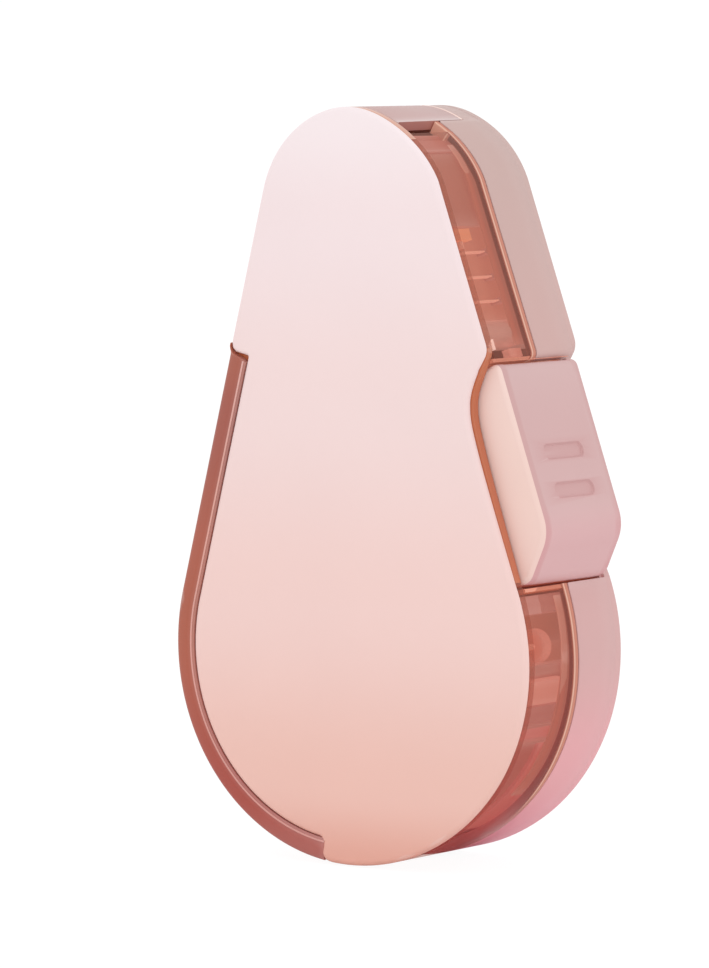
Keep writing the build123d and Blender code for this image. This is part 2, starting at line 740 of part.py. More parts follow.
# ---- out ------------------------------------------------------------------------------------
PARTS = {
    "front_cover": front_cover,
    "clear_housing": clear_housing,
    "back_cover": back_cover,
    "button_pin": button_pin,
    "shutter_pin": shutter_pin,
    "press_button": press_button,
    "head_shutter": head_shutter,
    "core_frame": core_frame,
    "core_bridge": core_bridge,
    "applicator_head": applicator_head,
    "supply_gear": supply_gear,
    "clutch_ring": clutch_ring,
    "supply_reel": supply_reel,
    "tape_roll": tape_roll,
    "reel_cap": reel_cap,
    "takeup_gear": takeup_gear,
    "takeup_reel": takeup_reel,
    "liner_roll": liner_roll,
    "tape_run": tape_run,
    "liner_run": liner_run,
    "return_spring": return_spring,
}
for name, piece in PARTS.items():
    piece.part.label = name
    export_step(piece.part, f"parts/{name}.step")
    solids = piece.part.solids()
    print(name, len(solids), round(piece.part.volume, 2))
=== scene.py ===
"""Looks for the correction tape roller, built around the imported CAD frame.

Lengths are in millimetres, and MM turns them into metres.  An outline is a list of (x, z) points of
the row frame.  A level is the distance in front of the back face, so y = -level.  An inset is the
distance inward from an outline.
"""

from math import acos, atan2, cos, degrees, pi, radians, sin, sqrt, tan

import bmesh
import bpy
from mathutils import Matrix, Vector
from mathutils.geometry import delaunay_2d_cdt


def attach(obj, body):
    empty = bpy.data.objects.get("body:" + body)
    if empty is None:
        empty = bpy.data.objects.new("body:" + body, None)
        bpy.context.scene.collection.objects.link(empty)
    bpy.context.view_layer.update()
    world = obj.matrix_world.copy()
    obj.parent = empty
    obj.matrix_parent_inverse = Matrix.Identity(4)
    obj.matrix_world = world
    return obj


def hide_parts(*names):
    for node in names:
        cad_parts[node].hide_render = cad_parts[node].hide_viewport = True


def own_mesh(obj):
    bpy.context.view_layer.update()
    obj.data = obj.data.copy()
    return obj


MM = 0.001
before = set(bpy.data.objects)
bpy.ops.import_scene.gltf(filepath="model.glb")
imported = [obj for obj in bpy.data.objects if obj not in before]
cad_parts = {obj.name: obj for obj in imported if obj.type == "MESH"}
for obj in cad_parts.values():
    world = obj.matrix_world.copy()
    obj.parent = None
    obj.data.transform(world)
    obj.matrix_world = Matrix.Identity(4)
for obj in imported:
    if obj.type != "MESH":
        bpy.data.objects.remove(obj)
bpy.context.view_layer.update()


# ---- sizes, the same as in the CAD ------------------------------------------------------------
def on_circle(centre, radius, angle):
    a = radians(angle)
    return (centre[0] + radius * cos(a), centre[1] + radius * sin(a))


# body: two round ends joined by flanks
BIG_R = 21.15
TOP_R = 10.74
TOP_Z = 43.1
LOW = (0.0, 0.0)
TOP = (0.0, TOP_Z)
FLANK = 19.4  # degrees of the right flank from the vertical
LEFT = 90 + degrees(acos((BIG_R - TOP_R) / TOP_Z))  # degrees of the left flank's outward side
RIGHT_TOP = on_circle(TOP, TOP_R, FLANK)
LEFT_TOP = on_circle(TOP, TOP_R, LEFT)
LEFT_LOW = on_circle(LOW, BIG_R, LEFT)

# walls and plates, by level
WALL = 1.3
PLATE = 1.6
FACE_IN = 15.4
FACE_OUT = 16.35
FRONT = 17.0
COVER_R = 0.5  # edge round of the front cover
REAR_R = 0.4  # edge round of the back cover
LINING_TOP = 15.2  # where what stands inside the case ends below the front plate

# button bay: its upper corner, its foot and the curve between them
BAY_TOP = (16.28, 29.22)
FOOT = 20.3  # degrees up the wide end
REAR_NOTCH = [(18.0, 11.6), (16.1, 17.0), (14.6, 21.5), (14.0, 24.8), (14.6, 27.4), (15.98, 30.05)]
FRONT_NOTCH = [(15.0, 20.2), (14.0, 25.0), (15.0, 28.4)]
NOTCH_STEPS = 12  # steps of the curve from one of those points to the next
BAY_R = 0.9  # round of the bay's upper corner

# press button
PIVOT = (12.5, 31.4)
SHOULDER = (16.94, 29.12)
ELBOW = (22.64, 12.68)
HEEL = (20.5, 7.72)
BUTTON_LO = 1.75
BUTTON_HI = 15.25
BUTTON_LEAN = -0.45  # how far the outer face leans in from the back to the front
CHEEK_LO = 3.0  # the two cheeks lie outside these levels
CHEEK_HI = 14.0

# mouth of the tape head and its shutter, in degrees round the narrow end
MOUTH_LO = 3.7
MOUTH_RIM = 9.0
MOUTH_FROM = 52.0
MOUTH_TO = 140.0
SHUTTER_FROM = 63.0
SHUTTER_TO = 124.0
SHUTTER_LO = MOUTH_LO + 0.15
SHUTTER_HI = FACE_IN - 0.15
HINGE = on_circle(TOP, 9.6, 130.0)
SWING = 95.0  # degrees the shutter opens
SLIDE = 7.0  # travel of the core

# return spring
SPRING = (-7.6, 8.5)  # x and level of its axis
SPRING_LO = 24.0
SPRING_HI = 39.0
SPRING_R = 1.6
SPRING_WIRE = 0.2
SPRING_TURNS = 9

# clear strip down the left of the front
STRIP_W = 2.1
GAP = 0.18  # between the strip and the front cover
CUT_X = -3.3  # the strip ends here at the bottom
CUT_TOP = 29.45  # and here at the top, under the rounded corner of the cover
CUT_R = 1.15
CUT_DROP = 0.45  # how much lower the inner corner of the cover's cut lies

# The side wall leans: how far its front and back edges stand out of the CAD outline.
FLANK_LEAN = (0.12, 0.04)  # along the right flank, at the front and at the back
TOP_LEAN = (-0.46, -0.2)  # where the narrow end leans in most
TOP_LEAN_AT = 57.0
TOP_LEAN_END = (100.0, 90.0)
FOOT_LEAN = (-0.36, 0.12)  # beside the lower end of the button bay
FOOT_LEAN_FROM = (-33.0, -60.0)
FOOT_LEAN_FULL = (14.0, -20.0)

# The seam between the two halves rises from the wide end to the narrow end.
SEAM_FOOT = 7.1
SEAM_RISE = ((-21.0, 2.0, 0.7), (30.0, 52.0, 0.35))  # (from z, to z, rise)


# ---- outline helpers ------------------------------------------------------------------------
def between(value, start, end):
    """Share of the way from start to end, kept between 0 and 1."""
    return min(1.0, max(0.0, (value - start) / (end - start)))


def seam(z):
    """Level of the seam between the back cover and the clear housing at a height."""
    return SEAM_FOOT + sum(rise * between(z, lo, hi) for lo, hi, rise in SEAM_RISE)


def above_seam(rise):
    """A level that keeps its distance from the seam, for the profile of a ring."""
    return lambda z: seam(z) + rise


def top_lean(angle, flank, most, end):
    """Lean round the narrow end: from that of the flank to the most, then back to none."""
    if angle < TOP_LEAN_AT:
        return flank + (most - flank) * sin(pi / 2 * between(angle, FLANK, TOP_LEAN_AT))
    return most * (1 + cos(pi * between(angle, TOP_LEAN_AT, end))) / 2


def lean(x, z, level):
    """The point moved by the lean of the side wall at that level."""
    top_angle = degrees(atan2(z - TOP_Z, x))
    low_angle = degrees(atan2(z, x))
    if z > 40 and FLANK < top_angle < 110:
        angle = top_angle
        front, back = (top_lean(angle, *edge) for edge in zip(FLANK_LEAN, TOP_LEAN, TOP_LEAN_END))
    elif x > 0 and z > 28:
        angle = FLANK
        front, back = FLANK_LEAN
    elif -95 < low_angle < FOOT + 3:
        angle = low_angle
        front, back = (most * between(angle, start, full)
                       for most, start, full in zip(FOOT_LEAN, FOOT_LEAN_FROM, FOOT_LEAN_FULL))
    else:
        return x, z
    d = back + (front - back) * level / FRONT
    return x + d * cos(radians(angle)), z + d * sin(radians(angle))


def arc(centre, radius, start, end, step=2.0):
    """Points with outward normals along an arc."""
    count = max(2, int(abs(end - start) / step) + 1)
    out = []
    for i in range(count + 1):
        a = start + (end - start) * i / count
        out.append((on_circle(centre, radius, a), (cos(radians(a)), sin(radians(a)))))
    return out


def straight(a, b, count):
    """Points with outward normals on a straight run, walked anticlockwise."""
    dx, dz = b[0] - a[0], b[1] - a[1]
    length = sqrt(dx * dx + dz * dz)
    normal = (dz / length, -dx / length)
    return [((a[0] + dx * i / count, a[1] + dz * i / count), normal) for i in range(count + 1)]


def merge(*runs):
    """Joins runs of (point, normal), dropping points that repeat."""
    out = []
    for run in runs:
        for p, n in run:
            if out and abs(out[-1][0][0] - p[0]) + abs(out[-1][0][1] - p[1]) < 1e-6:
                continue
            out.append((p, n))
    return out


def spline(points, count):
    """Catmull-Rom curve through the points."""
    out = []
    n = len(points)
    for i in range(n - 1):
        p0 = points[max(i - 1, 0)]
        p1, p2 = points[i], points[i + 1]
        p3 = points[min(i + 2, n - 1)]
        for k in range(count):
            t = k / count
            out.append(tuple(
                0.5 * (2 * p1[j] + (p2[j] - p0[j]) * t
                       + (2 * p0[j] - 5 * p1[j] + 4 * p2[j] - p3[j]) * t * t
                       + (3 * p1[j] - p0[j] - 3 * p2[j] + p3[j]) * t ** 3)
                for j in (0, 1)))
    out.append(points[-1])
    return out


def with_normals(points):
    """Outward normals of a closed anticlockwise run of points."""
    out = []
    n = len(points)
    for i, p in enumerate(points):
        a, b = points[i - 1], points[(i + 1) % n]
        dx, dz = b[0] - a[0], b[1] - a[1]
        length = sqrt(dx * dx + dz * dz) or 1.0
        out.append((p, (dz / length, -dx / length)))
    return out


def soften(points, corner, reach, count=8):
    """Rounds the corner of a closed outline nearest to the given point."""
    n = len(points)
    i = min(range(n), key=lambda k: (points[k][0] - corner[0]) ** 2
            + (points[k][1] - corner[1]) ** 2)

    def walk(step):
        k, left = i, reach
        while True:
            a, b = Vector(points[k]), Vector(points[(k + step) % n])
            gap = (b - a).length
            k = (k + step) % n
            if gap >= left:
                return a + (b - a) * (left / gap), k
            left -= gap

    start, before = walk(-1)
    end, after = walk(1)
    middle = Vector(points[i])
    out = []
    for k in range(count + 1):
        t = k / count
        out.append(tuple(start * (1 - t) ** 2 + middle * 2 * t * (1 - t) + end * t * t))
    k = after
    while True:
        if (Vector(points[k]) - Vector(out[-1])).length > 1e-4:
            out.append(points[k])
        if k == before:
            break
        k = (k + 1) % n
    return out


def shift(sample, inset):
    (x, z), (nx, nz) = sample
    return x - nx * inset, z - nz * inset


def band(run, outer, inner):
    """Closed outline of a wall that follows a run between two insets."""
    return [shift(s, outer) for s in run] + [shift(s, inner) for s in reversed(run)]


def right_side(z):
    """Point and outward normal on the right side of the body at a height."""
    if z > RIGHT_TOP[1]:
        a = degrees(atan2(z - TOP_Z, sqrt(max(0.0, TOP_R ** 2 - (z - TOP_Z) ** 2))))
        return on_circle(TOP, TOP_R, a), (cos(radians(a)), sin(radians(a)))
    if z < BIG_R * sin(radians(FOOT)):
        a = degrees(atan2(z, sqrt(BIG_R ** 2 - z * z)))
        return on_circle(LOW, BIG_R, a), (cos(radians(a)), sin(radians(a)))
    x = RIGHT_TOP[0] + (RIGHT_TOP[1] - z) * tan(radians(FLANK))
    return (x, z), (cos(radians(FLANK)), sin(radians(FLANK)))


def plain_outline(notch, level=None):
    """Whole outline with the button bay cut in, leaned for one level if one is given."""
    big = [p for p, _ in arc(LOW, BIG_R, LEFT - 360, FOOT)]
    right = [p for p, _ in merge(straight(notch[-1], RIGHT_TOP, 10),
                                 arc(TOP, TOP_R, FLANK, LEFT))][1:]
    if level is not None:
        big = [lean(*p, level) for p in big]
        right = [lean(*p, level) for p in right]
    curve = spline([big[-1]] + notch, NOTCH_STEPS)[1:]
    left = [p for p, _ in straight(LEFT_TOP, LEFT_LOW, 20)][1:-1]
    return big + curve + right + left


# Anticlockwise: right flank from the bay up over the narrow end, and the left side to the foot.
FLANK_RUN = straight(BAY_TOP, RIGHT_TOP, 14)
RIM_RIGHT = merge(FLANK_RUN, arc(TOP, TOP_R, FLANK, SHUTTER_FROM - 0.5))
RIM_CLEAR = merge(FLANK_RUN, arc(TOP, TOP_R, FLANK, MOUTH_FROM))
RIM_MOUTH = arc(TOP, TOP_R, SHUTTER_FROM - 0.5, MOUTH_TO)
RIM_LEFT = merge(arc(TOP, TOP_R, MOUTH_TO, LEFT), straight(LEFT_TOP, LEFT_LOW, 24),
                 arc(LOW, BIG_R, LEFT, 360 + FOOT))


# ---- mesh helpers ---------------------------------------------------------------------------
def finish_shading(mesh):
    """Smooth faces with an edge wherever two of them meet at a clear angle."""
    mesh.shade_smooth()
    mesh.set_sharp_from_angle(angle=radians(35.0))


def new_object(name, bm, body, materials):
    bmesh.ops.recalc_face_normals(bm, faces=bm.faces)
    mesh = bpy.data.meshes.new(name)
    bm.to_mesh(mesh)
    bm.free()
    obj = bpy.data.objects.new(name, mesh)
    bpy.context.scene.collection.objects.link(obj)
    for m in materials:
        mesh.materials.append(m)
    finish_shading(mesh)
    if body:
        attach(obj, body)
    return obj


def carve(obj, cutters):
    """Cuts the cutter objects out of obj for good."""
    for cutter in cutters:
        cut = obj.modifiers.new("cut", "BOOLEAN")
        cut.operation = "DIFFERENCE"
        cut.solver = "EXACT"
        cut.object = cutter
    bpy.context.view_layer.update()
    graph = bpy.context.evaluated_depsgraph_get()
    mesh = bpy.data.meshes.new_from_object(obj.evaluated_get(graph))
    obj.modifiers.clear()
    obj.data = mesh
    finish_shading(mesh)
    for cutter in cutters:
        bpy.data.objects.remove(cutter)


def put(bm, x, z, level):
    return bm.verts.new((x * MM, -level * MM, z * MM))


def bridge(bm, loops, slot=lambda side, row: 0):
    """Faces between each loop and the next; slot gives the material of a side and a row."""
    for row, (a, b) in enumerate(zip(loops, loops[1:])):
        for i in range(len(a)):
            j = (i + 1) % len(a)
            bm.faces.new((a[i], a[j], b[j], b[i])).material_index = slot(i, row)


def close_ends(bm, loops, slot=0):
    for loop in (loops[0], loops[-1]):
        bm.faces.new(loop).material_index = slot


def cap(bm, loop, slot=0):
    """Fills a flat closed loop with well shaped triangles, or one face if the loop crosses itself."""
    flat = [Vector((v.co.x / MM, v.co.z / MM)) for v in loop]
    verts, _, faces, origin, _, _ = delaunay_2d_cdt(flat, [], [list(range(len(loop)))], 1, 1e-7)
    if len(verts) != len(loop):
        bm.faces.new(loop).material_index = slot
        return
    for face in faces:
        bm.faces.new([loop[origin[i][0]] for i in face]).material_index = slot


def rings(bm, points, profile, slot=0, leaning=False, slots=None):
    """Closed solid from a closed outline: one ring per (inset, level) of the profile."""
    pick = slots or (lambda point, row: slot)
    samples = with_normals(points)
    loops = []
    for inset, level in profile:
        loop = []
        for s in samples:
            x, z = shift(s, inset)
            h = level(s[0][1]) if callable(level) else level
            if leaning:
                x, z = lean(x, z, h)
            loop.append(put(bm, x, z, h))
        loops.append(loop)
    bridge(bm, loops, lambda side, row: pick(points[side], row))
    cap(bm, loops[0], slot)
    cap(bm, loops[-1], pick(points[0], -1))


def bevelled(lo, hi, edge):
    """Profile of a straight wall between two levels, with its edges broken."""
    return [(edge, lo), (0.0, lo + edge), (0.0, hi - edge), (edge, hi)]


def sweep(bm, samples, section, slot=0, width=None):
    """Closed solid swept along an open run; section is a closed list of (inset, level)."""
    loops = []
    for s in samples:
        scale = width(s[0][1]) if width else 1.0
        loops.append([put(bm, *shift(s, inset * scale), level) for inset, level in section])
    bridge(bm, loops, lambda side, row: slot)
    close_ends(bm, loops, slot)


def lathe(bm, centre, profile, slot=0, count=40):
    """Solid of revolution about a line along Y through centre; profile is (radius, level)."""
    loops = []
    for r, level in profile:
        loops.append([put(bm, *on_circle(centre, r, 360 * i / count), level)
                      for i in range(count)])
    bridge(bm, loops, lambda side, row: slot)
    close_ends(bm, loops, slot)


def edge_round(radius, level, side, count=5):
    """Profile rows of a rounded edge at a level; side is +1 for a front edge, -1 for a rear one."""
    rows = []
    for k in range(count + 1):
        t = pi / 2 * k / count
        rows.append((radius * (1 - cos(t)), level - side * radius * (1 - sin(t))))
    return rows if side > 0 else rows[::-1]


# ---- materials --------------------------------------------------------------------------------
Z_LOW = -BIG_R * MM
Z_HIGH = (TOP_Z + TOP_R) * MM


def srgb(r, g, b):
    """0-255 display colour to scene linear."""
    out = []
    for v in (r, g, b):
        v /= 255
        out.append(v / 12.92 if v <= 0.04045 else ((v + 0.055) / 1.055) ** 2.4)
    return (*out, 1.0)


def grey(value):
    return (value, value, value, 1.0)


def darken(colour, share):
    return tuple(c * share for c in colour[:3]) + (1.0,)


class Nodes:
    """Small helper to build a node tree."""

    def __init__(self, name):
        self.mat = bpy.data.materials.new(name)
        self.mat.use_nodes = True
        self.tree = self.mat.node_tree
        self.tree.nodes.clear()
        self.out = self.add("ShaderNodeOutputMaterial")

    def add(self, kind, **values):
        node = self.tree.nodes.new(kind)
        for key, value in values.items():
            setattr(node, key, value)
        return node

    def link(self, a, b):
        self.tree.links.new(a, b)

    def feed(self, value, socket):
        """Sets a socket to a number or colour, or links it to another node's output."""
        if isinstance(value, (float, tuple)):
            socket.default_value = value
        else:
            self.link(value, socket)

    def coords(self):
        return self.add("ShaderNodeTexCoord").outputs["Object"]

    def axis(self, name):
        """One coordinate of the object in metres."""
        split = self.add("ShaderNodeSeparateXYZ")
        self.link(self.coords(), split.inputs[0])
        return split.outputs[name]

    def noise(self, scale, detail=3.0):
        n = self.add("ShaderNodeTexNoise")
        n.inputs["Scale"].default_value = scale
        n.inputs["Detail"].default_value = detail
        self.link(self.coords(), n.inputs["Vector"])
        return n.outputs["Fac"]

    def map(self, value, to_lo, to_hi, lo=0.0, hi=1.0):
        m = self.add("ShaderNodeMapRange")
        for socket, number in (("From Min", lo), ("From Max", hi), ("To Min", to_lo), ("To Max", to_hi)):
            m.inputs[socket].default_value = number
        self.link(value, m.inputs["Value"])
        return m.outputs["Result"]

    def ramp(self, value, stops, lo=0.0, hi=1.0):
        r = self.add("ShaderNodeValToRGB")
        r.color_ramp.interpolation = "EASE"
        while len(r.color_ramp.elements) < len(stops):
            r.color_ramp.elements.new(0.5)
        for e, (pos, colour) in zip(r.color_ramp.elements, stops):
            e.position = pos
            e.color = colour
        self.link(self.map(value, 0.0, 1.0, lo, hi), r.inputs["Fac"])
        return r.outputs["Color"]

    def by_height(self, stops):
        return self.ramp(self.axis("Z"), stops, Z_LOW, Z_HIGH)

    def mix_rgb(self, a, b, fac, mode="MIX"):
        m = self.add("ShaderNodeMix", data_type="RGBA", blend_type=mode)
        for value, socket in ((fac, m.inputs[0]), (a, m.inputs[6]), (b, m.inputs[7])):
            self.feed(value, socket)
        return m.outputs[2]

    def mix_shader(self, fac, a, b):
        m = self.add("ShaderNodeMixShader")
        for value, socket in zip((fac, a, b), m.inputs):
            self.feed(value, socket)
        return m.outputs[0]

    def math(self, operation, a, b):
        m = self.add("ShaderNodeMath", operation=operation)
        self.feed(a, m.inputs[0])
        self.feed(b, m.inputs[1])
        return m.outputs[0]

    def bump(self, height, strength, distance):
        b = self.add("ShaderNodeBump")
        b.inputs["Strength"].default_value = strength
        b.inputs["Distance"].default_value = distance
        self.link(height, b.inputs["Height"])
        return b.outputs["Normal"]

    def finish(self, shader):
        self.link(shader, self.out.inputs["Surface"])
        return self.mat


def plastic(name, shades, rough=(0.35, 0.45), grain=1800.0, grain_depth=0.000004, blotch=0.03,
            coat=0.0, glow=0.0, spec=0.5, edge=0.25, dim=1.0):
    """Moulded plastic: colour by height, faint blotches, fine spark-eroded grain, and a painted highlight
    on sharp edges.

    shades is a list of (share of the height, display colour), glow is painted light (emission of the
    plastic's own colour standing in for light that comes through), edge is the strength of the painted
    edge highlight, and dim is the brightness left at the lower end of a plastic that has a single shade."""
    n = Nodes(name)
    p = n.add("ShaderNodeBsdfPrincipled")
    stops = [(share, srgb(*rgb)) for share, rgb in shades]
    if dim < 1.0:
        stops.insert(0, (0.0, darken(stops[0][1], dim)))
    colour = n.by_height(stops)
    blotches = n.ramp(n.noise(70.0, 4.0), [(0.3, grey(1 - blotch)), (0.7, grey(1.0))])
    colour = n.mix_rgb(colour, blotches, 1.0, "MULTIPLY")
    # painted highlight: sharp edges are mixed toward white, as where they catch the light
    sharpness = n.add("ShaderNodeNewGeometry").outputs["Pointiness"]
    edge_highlight = n.mix_rgb(colour, (1.0, 0.97, 0.96, 1.0), 0.5)
    colour = n.mix_rgb(colour, edge_highlight, n.map(sharpness, 0.0, edge, 0.52, 0.62))
    n.link(colour, p.inputs["Base Color"])
    n.link(n.map(n.noise(240.0, 2.0), *rough), p.inputs["Roughness"])
    n.link(n.bump(n.noise(grain, 2.0), 0.35, grain_depth), p.inputs["Normal"])
    p.inputs["Coat Weight"].default_value = coat
    p.inputs["Coat Roughness"].default_value = 0.25
    p.inputs["Specular IOR Level"].default_value = spec
    # glow is painted light: the plastic gives off its own colour as emission
    if glow:
        n.link(colour, p.inputs["Emission Color"])
        p.inputs["Emission Strength"].default_value = glow
    return n.finish(p.outputs["BSDF"])


def metal(name, rgb, rough=(0.18, 0.3)):
    """Drawn wire: streaks in the colour and the shine."""
    n = Nodes(name)
    p = n.add("ShaderNodeBsdfPrincipled")
    p.inputs["Metallic"].default_value = 1.0
    colour = srgb(*rgb)
    streaks = n.ramp(n.noise(900.0), [(0.3, colour), (0.7, darken(colour, 0.8))])
    n.link(streaks, p.inputs["Base Color"])
    n.link(n.map(n.noise(400.0, 2.0), *rough), p.inputs["Roughness"])
    n.link(n.bump(n.noise(2500.0, 1.0), 0.2, 0.000003), p.inputs["Normal"])
    return n.finish(p.outputs["BSDF"])


def seam_distance(n):
    """Level above the seam in millimetres, as a node output."""
    height = n.axis("Z")
    total = SEAM_FOOT
    for lo, hi, rise in SEAM_RISE:
        total = n.math("ADD", n.map(height, 0.0, rise, lo * MM, hi * MM), total)
    return n.math("SUBTRACT", n.math("MULTIPLY", n.axis("Y"), -1 / MM), total)


def painted_rim_lines(n):
    """Colour of the moulded rim next to the seam, with painted shade in the seam gap and a peach line of
    painted highlight along its rounded rear edge, and how much of it shows.
    """
    gap = seam_distance(n)
    reach = 2.0  # millimetres of the rim
    # painted light: dark is painted shade in the seam gap, peach a painted highlight on the rounded rear
    # edge
    dark, rose, peach_highlight = srgb(158, 84, 68), srgb(214, 142, 122), srgb(246, 196, 174)
    colour = n.ramp(gap, [(0.0, dark), (0.06, dark), (0.11, rose), (0.3, rose), (0.35, peach_highlight),
                          (0.4, peach_highlight), (0.45, rose), (0.52, dark), (0.62, dark)], 0.0, reach)
    share = n.ramp(gap, [(0.0, grey(1.0)), (0.5, grey(0.95)), (0.6, grey(0.6)), (0.72, grey(0.0))],
                   0.0, reach)
    # the rim fades out under the wide end
    low = n.ramp(n.axis("Z"), [(0.0, grey(0.15)), (1.0, grey(1.0))], -0.019, -0.013)
    return colour, n.mix_rgb(share, low, 1.0, "MULTIPLY")


def clear_wall(name):
    """Rose tinted see-through wall: a haze that glows a little as painted light, painted rim lines of
    highlight and shade, and a soft sheen.
    """
    haze = 0.36
    n = Nodes(name)
    outside = n.math("SUBTRACT", 1.0, n.add("ShaderNodeNewGeometry").outputs["Backfacing"])
    through = n.add("ShaderNodeBsdfTransparent")
    through.inputs["Color"].default_value = srgb(250, 240, 236)
    colour = n.by_height([(0.0, srgb(180, 84, 78)), (0.5, srgb(180, 114, 97)),
                          (1.0, srgb(176, 118, 103))])
    flow = n.ramp(n.noise(90.0), [(0.35, grey(0.93)), (0.65, grey(1.0))])
    colour = n.mix_rgb(colour, flow, 1.0, "MULTIPLY")
    line, share = painted_rim_lines(n)
    colour = n.mix_rgb(colour, line, share)
    body = n.add("ShaderNodeBsdfDiffuse")
    # painted light: the haze gives off its own colour as emission
    painted_glow = n.add("ShaderNodeEmission")
    painted_glow.inputs["Strength"].default_value = 0.9
    for part in (body, painted_glow):
        n.link(colour, part.inputs["Color"])
    solid = n.mix_shader(0.5, body.outputs[0], painted_glow.outputs[0])
    amount = n.math("MULTIPLY", n.math("MAXIMUM", share, haze), outside)
    inner = n.mix_shader(amount, through.outputs[0], solid)

    surface = n.bump(n.noise(45.0, 1.0), 0.25, 0.00006)
    gloss = n.add("ShaderNodeBsdfGlossy")
    n.link(n.map(n.noise(160.0, 2.0), 0.05, 0.14), gloss.inputs["Roughness"])
    fresnel = n.add("ShaderNodeFresnel")
    fresnel.inputs["IOR"].default_value = 1.22
    for part in (gloss, fresnel):
        n.link(surface, part.inputs["Normal"])
    sheen = n.math("MULTIPLY", n.math("MULTIPLY", fresnel.outputs[0], 0.35), outside)
    return n.finish(n.mix_shader(sheen, inner, gloss.outputs[0]))


SATIN = {"rough": (0.42, 0.5), "blotch": 0.02, "spec": 0.3}
cover_mat = plastic("cover_plastic", [
    (0.0, (236, 178, 162)), (0.10, (245, 200, 188)), (0.35, (249, 215, 209)),
    (0.62, (250, 225, 223)), (0.85, (252, 233, 234)), (1.0, (255, 241, 243))],
    rough=(0.5, 0.6), grain=2600.0, grain_depth=0.000003, blotch=0.012, spec=0.25)
shell_mat = plastic("shell_plastic", [
    (0.0, (246, 166, 182)), (0.12, (241, 176, 181)), (0.30, (219, 174, 172)),
    (0.6, (214, 175, 170)), (1.0, (208, 177, 171))], **SATIN)
button_mat = plastic("button_plastic", [
    (0.0, (222, 161, 163)), (0.44, (220, 165, 167)), (0.5, (215, 170, 169)),
    (1.0, (210, 171, 169))], **SATIN)
# lit copy of the button plastic, painted light: the front side face and the rounded ridge are coloured
# lighter
button_lit_side_mat = plastic("button_lit_side", [
    (0.35, (246, 211, 202)), (0.5, (249, 216, 206)), (0.66, (252, 221, 212))], **SATIN)
inner_mat = plastic("core_plastic", [(0.0, (214, 140, 132)), (1.0, (206, 150, 142))],
                    rough=(0.3, 0.4), grain=1500.0, blotch=0.05)
clear_mat = clear_wall("clear_plastic")
# deep orange edge of the clear plate, turning to a cream painted highlight over the narrow end
edge_mat = plastic("clear_edge", [
    (0.0, (200, 108, 84)), (0.35, (202, 110, 72)), (0.7, (200, 108, 66)),
    (0.85, (206, 128, 100)), (1.0, (226, 168, 146))], rough=(0.15, 0.25), blotch=0.05)
strip_mat = plastic("clear_strip", [
    (0.0, (188, 112, 104)), (0.08, (178, 84, 72)), (0.3, (182, 98, 76)),
    (0.6, (172, 94, 80)), (0.66, (176, 98, 80)), (0.70, (204, 116, 82))],
    rough=(0.3, 0.4), blotch=0.05, spec=0.3)
# painted highlight: the bead on the strip's ridge is coloured light
bead_highlight_mat = plastic("strip_bead_highlight", [(0.0, (216, 146, 136)), (0.5, (228, 164, 150)),
                                  (0.72, (232, 176, 168))], rough=(0.1, 0.2), blotch=0.05, coat=0.4)
# glow is painted light that lifts the shade in the gaps round the button
bay_mat = plastic("bay_edge", [(0.0, (206, 108, 66)), (1.0, (206, 112, 72))],
                  rough=(0.2, 0.3), blotch=0.05, glow=0.3)
# glow is painted light: the barrel sits in shade inside the case
barrel_mat = plastic("button_barrel", [(0.5, (170, 122, 112)), (0.8, (206, 166, 156))],
                     rough=(0.2, 0.3), blotch=0.05, glow=0.5)
# edge=0.8: a strong painted highlight on the shutter's sharp edges
shutter_mat = plastic("shutter_plastic", [
    (0.9, (196, 154, 149)), (0.97, (206, 168, 165)), (1.0, (202, 162, 158))],
    rough=(0.42, 0.5), blotch=0.02, spec=0.4, edge=0.8)
# painted highlight: light cream for the rim along the shutter's rear edge; glow is painted light
shutter_highlight_mat = plastic("shutter_rim_highlight", [(0.9, (238, 204, 190)), (1.0, (244, 214, 202))],
                          rough=(0.2, 0.3), glow=0.2)
# painted shade: dark red for the shutter's lower end, in the shade of the gap below it
shutter_shade_mat = plastic("shutter_end_shade", [(0.9, (172, 96, 86)), (1.0, (178, 104, 94))],
                          rough=(0.3, 0.4), blotch=0.04)
steel = metal("pin_steel", (205, 205, 208))
white = plastic("gear_plastic", [(0.0, (232, 226, 220)), (1.0, (236, 230, 226))])
tape_mat = plastic("tape_white", [(0.0, (240, 238, 236)), (1.0, (244, 243, 241))], rough=(0.5, 0.6))
liner_mat = plastic("liner_paper", [(0.0, (226, 214, 196)), (1.0, (230, 220, 204))], rough=(0.45, 0.6))
rubber = plastic("clutch_rubber", [(0.0, (92, 84, 84)), (1.0, (98, 90, 90))], rough=(0.6, 0.75))


